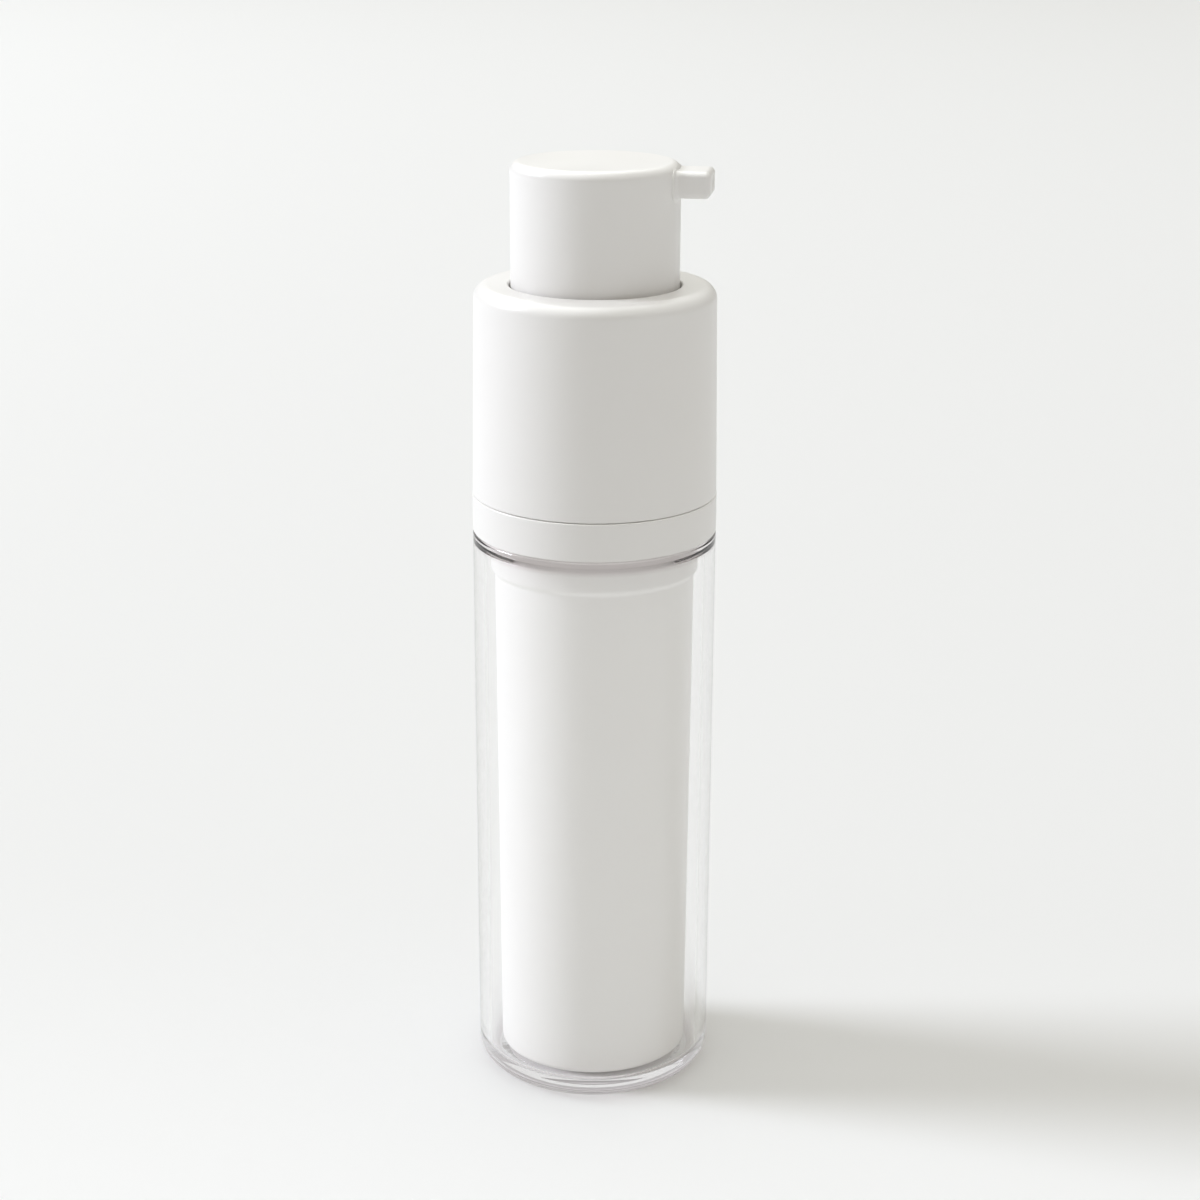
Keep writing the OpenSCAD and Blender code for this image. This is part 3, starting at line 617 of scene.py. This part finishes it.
def makeClearBottle(s):
    cavity = s["radius"] - s["wall"]
    dish = s["radius"] - s["footRound"] - s["footBand"]
    neckTop = highOf("outer_bottle").z
    beadAt = (shoulderTop + neckTop) / 2
    cone = cavity - s["neckBore"]
    shoulderLow = shoulderTop - s["shoulder"]
    piece = turnPiece("clear_outer_bottle", [
        (0, s["dishDepth"] - s["gateDepth"], 0),
        (s["gateRadius"] - s["gateSlope"], s["dishDepth"] - s["gateDepth"], 0.1),
        (s["gateRadius"], s["dishDepth"], 0.1),
        (dish - 2 * s["dishDepth"], s["dishDepth"], 0.5),
        (dish, 0, 0.5),
        (s["radius"], 0, s["footRound"]),
        (s["radius"], shoulderTop, s["shoulderRound"]),
        (s["neckRadius"], shoulderTop, 0.1),
        (s["neckRadius"], beadAt - s["beadHalf"], 0.1),
        (s["neckRadius"] + s["beadHeight"], beadAt, 0.15),
        (s["neckRadius"], beadAt + s["beadHalf"], 0.1),
        (s["neckRadius"], neckTop, 0.1),
        (s["neckBore"], neckTop, 0.1),
        (s["neckBore"], shoulderLow + cone, 0.2),
        (cavity, shoulderLow, 0.2),
        (cavity, s["floor"], s["floorRound"]),
        (0, s["floor"], 0),
    ], steps=256, arcSteps=10)
    finishPiece(piece, "outer_bottle", "bottle", "clear_plastic")


# The white inner bottle

whiteBottle = {
    "footRadius": 14.0,
    "topRadius": 14.4,
    "footRound": 1.0,
    "wall": 1.1,
    "floor": 1.2,
    "neckRadius": 14.95,
    "flangeRadius": 15.75,
    "flange": 1.0,
    "shoulderDrop": 5.7,
    "shoulderRound": 0.9,
    "socketRadius": 13.85,
    "socketDepth": 7.4,
    "bore": 12.9,
    "vent": 0.8,
}


def makeWhiteBottle(s):
    foot = lowOf("inner_bottle").z
    mouth = highOf("inner_bottle").z
    shoulder = shoulderTop - s["shoulderDrop"]
    piece = turnPiece("white_inner_bottle", [
        (s["vent"], foot, 0.1),
        (s["footRadius"], foot, s["footRound"]),
        (s["topRadius"], shoulder, s["shoulderRound"]),
        (s["neckRadius"], shoulder + s["neckRadius"] - s["topRadius"], s["shoulderRound"]),
        (s["neckRadius"], mouth - s["flange"], 0.1),
        (s["flangeRadius"], mouth - s["flange"], 0.15),
        (s["flangeRadius"], mouth, 0.15),
        (s["socketRadius"], mouth, 0.15),
        (s["socketRadius"], mouth - s["socketDepth"], 0.1),
        (s["bore"], mouth - s["socketDepth"], 0.2),
        (s["bore"], foot + s["floor"], 0.5),
        (s["vent"], foot + s["floor"], 0.1),
    ])
    finishPiece(piece, "inner_bottle", "bottle", "white_bottle")


# The ring under the collar

whiteRing = {
    "radius": 17.5,
    "wall": 0.8,
    "lowRound": 0.12,
    "topRound": 0.25,
    "seam": 0.13,  # the hairline under the collar
    "landIn": 0.4,  # behind it, a land that the collar turns on
    "landGap": 0.05,
}


def makeWhiteRing(s):
    inner = s["radius"] - s["wall"]
    low = lowOf("base_ring").z
    top = collarLow - s["seam"]
    land = collarLow - s["landGap"]
    landOuter = s["radius"] - s["landIn"]
    piece = turnPiece("white_ring", [
        (inner, low, 0.05),
        (s["radius"], low, s["lowRound"]),
        (s["radius"], top, s["topRound"]),
        (landOuter, top, 0.02),
        (landOuter, land, 0.02),
        (inner, land, 0.05),
    ], steps=256, arcSteps=6)
    finishPiece(piece, "base_ring", "bottle", "white_plastic")


# The twist collar

collar = {
    "lowRadius": 17.45,
    "lowRound": 0.08,
    "draft": 0.45,
    "bore": 15.8,
    "cavity": 15.6,
    "top": 1.6,
    "topRound": 2.0,
    "hole": 12.1,
    "holeRound": 0.3,
    "lip": 1.0,
    "lipDepth": 6.5,
    "sleeveTop": 111.2,
    "grooveAt": 4.0,
    "groove": 0.25,
    "grooveHalf": 0.4,
    "keyCount": 4,
    "keyWidth": 2.8,
    "keyInner": 15.02,
    "keyLow": 109.4,
    "keyInWall": 0.3,  # how far the keys reach into the wall and the top
}


def makeCollar(s):
    high = s["lowRadius"] - s["draft"]
    under = collarTop - s["top"]
    lipLow = collarTop - s["lipDepth"]
    grooveAt = collarLow + s["grooveAt"]
    piece = turnPiece("twist_collar_shell", [
        (s["bore"], collarLow, 0.1),
        (s["lowRadius"], collarLow, s["lowRound"]),
        (high, collarTop, s["topRound"]),
        (s["hole"], collarTop, s["holeRound"]),
        (s["hole"], lipLow, 0.1),
        (s["hole"] + s["lip"], lipLow, 0.1),
        (s["hole"] + s["lip"], under, 0.3),
        (s["cavity"], under, 0.3),
        (s["cavity"], s["sleeveTop"], 0.02),
        (s["bore"], s["sleeveTop"], 0.02),
        (s["bore"], grooveAt + s["grooveHalf"], 0.02),
        (s["bore"] + s["groove"], grooveAt, 0.2),
        (s["bore"], grooveAt - s["grooveHalf"], 0.02),
    ], steps=256, arcSteps=10)
    reach = s["bore"] + s["keyInWall"] - s["keyInner"]
    tall = under + s["keyInWall"] - s["keyLow"]
    out = s["keyInner"] + reach / 2
    keys = []
    for i in range(s["keyCount"]):
        turn = (i + 0.5) * math.tau / s["keyCount"]
        place = Vector((out * math.cos(turn), out * math.sin(turn), s["keyLow"] + tall / 2)) * mm
        size = Vector((reach, s["keyWidth"], tall))
        bpy.ops.mesh.primitive_cube_add(size=mm, location=place, rotation=(0, 0, turn), scale=size)
        keys.append(bpy.context.object)
    combine(piece, joined(keys), "UNION")
    finishPiece(piece, "twist_collar", "collar", "white_plastic")


# The actuator and its nozzle

head = {
    "radius": 11.8,
    "wall": 1.2,
    "top": 1.2,
    "topRound": 1.3,
    "lowRound": 0.3,
    "nozzleWidth": 6.8,
    "nozzleHeight": 3.7,
    "nozzleStep": 0.8,
    "nozzleUnderRound": 0.9,
    "nozzleEdgeRound": 0.8,
    "nozzleFillet": 0.7,  # where it grows out of the cap's side
    "filletOnTop": 0.4,  # the share of that fillet on its upper side
    "nozzleRoot": 10.9,
    "rootRings": 20,
    "ringStep": 0.1,
    "tipRings": 8,
    "duct": 1.15,
    "mouthFlare": 0.05,
}


def makeNozzleBar(s):
    # A tube of rings: each is the nozzle's outline, drawn in at the tip and flared out at the cap
    top = headTop - s["nozzleStep"]
    low = top - s["nozzleHeight"]
    side = s["nozzleWidth"] / 2
    tipRound = s["nozzleEdgeRound"]
    outline = roundedOutline([
        (-side, low, s["nozzleUnderRound"]), (side, low, s["nozzleUnderRound"]),
        (side, top, s["nozzleEdgeRound"]), (-side, top, s["nozzleEdgeRound"]),
    ])
    steps = [s["nozzleRoot"] + s["ringStep"] * k for k in range(s["rootRings"])]
    drawnIn = [0] * len(steps)
    for k in range(s["tipRings"] + 1):
        turn = math.radians(90 * k / s["tipRings"])
        steps.append(nozzleTip - tipRound + tipRound * math.sin(turn))
        drawnIn.append(tipRound * (1 - math.cos(turn)))
    bpy.ops.mesh.primitive_grid_add(x_subdivisions=len(outline), y_subdivisions=len(steps) - 1, size=mm)
    bar = bpy.context.object
    edge = Vector((s["radius"] - s["topRound"], headTop - s["topRound"]))
    for i, vertex in enumerate(bar.data.vertices):
        ring, k = divmod(i, len(outline) + 1)
        point = outline[k % len(outline)]
        rounding = s["nozzleUnderRound"] if point.y < (low + top) / 2 else s["nozzleEdgeRound"]
        nearest = Vector((
            max(rounding - side, min(side - rounding, point.x)),
            max(low + rounding, min(top - rounding, point.y)),
        ))
        out = (point - nearest).normalized()
        fromAxis = math.hypot(steps[ring], point.x)
        away = fromAxis - s["radius"]
        if point.y > edge.y and fromAxis > edge.x:
            away = math.hypot(fromAxis - edge.x, point.y - edge.y) - s["topRound"]
        flare = s["nozzleFillet"] * (1 - (1 - s["filletOnTop"]) * max(0, out.y))
        left = max(0, min(1, 1 - away / flare))
        point = point + out * (flare * (1 - math.sqrt(1 - left ** 2)) - drawnIn[ring])
        vertex.co = Vector((steps[ring], point.x, point.y)) * mm
    bpy.ops.object.mode_set(mode="EDIT")
    bpy.ops.mesh.select_all(action="SELECT")
    bpy.ops.mesh.remove_doubles(threshold=0.0005 * mm)
    bpy.ops.mesh.select_all(action="SELECT")
    bpy.ops.mesh.fill_holes(sides=0)
    bpy.ops.mesh.normals_make_consistent(inside=False)
    bpy.ops.object.mode_set(mode="OBJECT")
    return bar


def makeActuator(s):
    bore = s["radius"] - s["wall"]
    piece = turnPiece("actuator_cap", [
        (bore, headLow, 0.1),
        (s["radius"], headLow, s["lowRound"]),
        (s["radius"], headTop, s["topRound"]),
        (0, headTop, 0),
        (0, headTop - s["top"], 0),
        (bore, headTop - s["top"], 0.5),
    ], steps=192, arcSteps=10)
    combine(piece, makeNozzleBar(s), "UNION")
    drill = turnPiece("drill", [
        (0, bore - 1, 0),
        (s["duct"], bore - 1, 0),
        (s["duct"], nozzleTip - s["mouthFlare"], 0),
        (s["duct"] + 2 * s["mouthFlare"], nozzleTip + s["mouthFlare"], 0),
        (0, nozzleTip + s["mouthFlare"], 0),
    ], steps=64, alongX=outletAxis)
    combine(piece, drill, "DIFFERENCE")
    finishPiece(piece, "actuator_shell", "head", "white_plastic")


# The tube in the nozzle's mouth

mouthTube = {
    "radius": 1.1,
    "spigot": 0.8,
    "hole": 0.5,
    "start": 8.3,  # from the bottle's axis
    "step": 10.6,
    "edgeRound": 0.05,
    "recess": 0.08,  # behind the nozzle's tip
}


def makeMouthTube(s):
    tip = nozzleTip - s["recess"]
    piece = turnPiece("nozzle_tube", [
        (s["hole"], s["start"], 0.1),
        (s["spigot"], s["start"], 0.15),
        (s["spigot"], s["step"], 0.05),
        (s["radius"], s["step"], 0.1),
        (s["radius"], tip, s["edgeRound"]),
        (s["hole"], tip, 0.15),
    ], steps=64, arcSteps=5, alongX=outletAxis)
    finishPiece(piece, "nozzle_insert", "head", "white_plastic")


# The return spring

spring = {"wire": 0.7, "turns": 6.5, "wireSides": 14, "stepsPerTurn": 40}


def makeSpring(s):
    low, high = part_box("return_spring")
    radius = high.x - s["wire"] / 2 * mm
    bottom = low.z + s["wire"] / 2 * mm
    rise = high.z - s["wire"] / 2 * mm - bottom
    bpy.ops.mesh.primitive_circle_add(
        vertices=s["wireSides"], radius=s["wire"] / 2 * mm, location=(radius, 0, bottom),
        rotation=(math.pi / 2, 0, 0))
    piece = bpy.context.object
    piece.name = piece.data.name = "return_spring_wire"
    bpy.ops.object.transform_apply(location=True, rotation=True, scale=True)
    steps = round(s["turns"] * s["stepsPerTurn"])
    applyModifier(
        piece, "SCREW", angle=s["turns"] * math.tau, screw_offset=rise, steps=steps, render_steps=steps)
    bpy.ops.object.mode_set(mode="EDIT")
    bpy.ops.mesh.select_all(action="SELECT")
    bpy.ops.mesh.fill_holes(sides=s["wireSides"])
    bpy.ops.mesh.normals_make_consistent(inside=False)
    bpy.ops.object.mode_set(mode="OBJECT")
    finishPiece(piece, "return_spring", "lift", "spring_steel")
    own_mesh(piece)


makeClearBottle(clearBottle)
makeWhiteBottle(whiteBottle)
makeWhiteRing(whiteRing)
makeCollar(collar)
makeActuator(head)
makeMouthTube(mouthTube)
makeSpring(spring)

# The working pieces inside keep their CAD shapes, each with the finish of its slot
for subpart in frame["record"]["subparts"]:
    inside = frame["nodes"][subpart["node"]]
    if inside.hide_render:
        continue
    for materialSlot in inside.material_slots:
        materialSlot.material = materials[subpart["material_slot"]]
print("inner pieces finished")

bpy.ops.object.select_all(action="DESELECT")
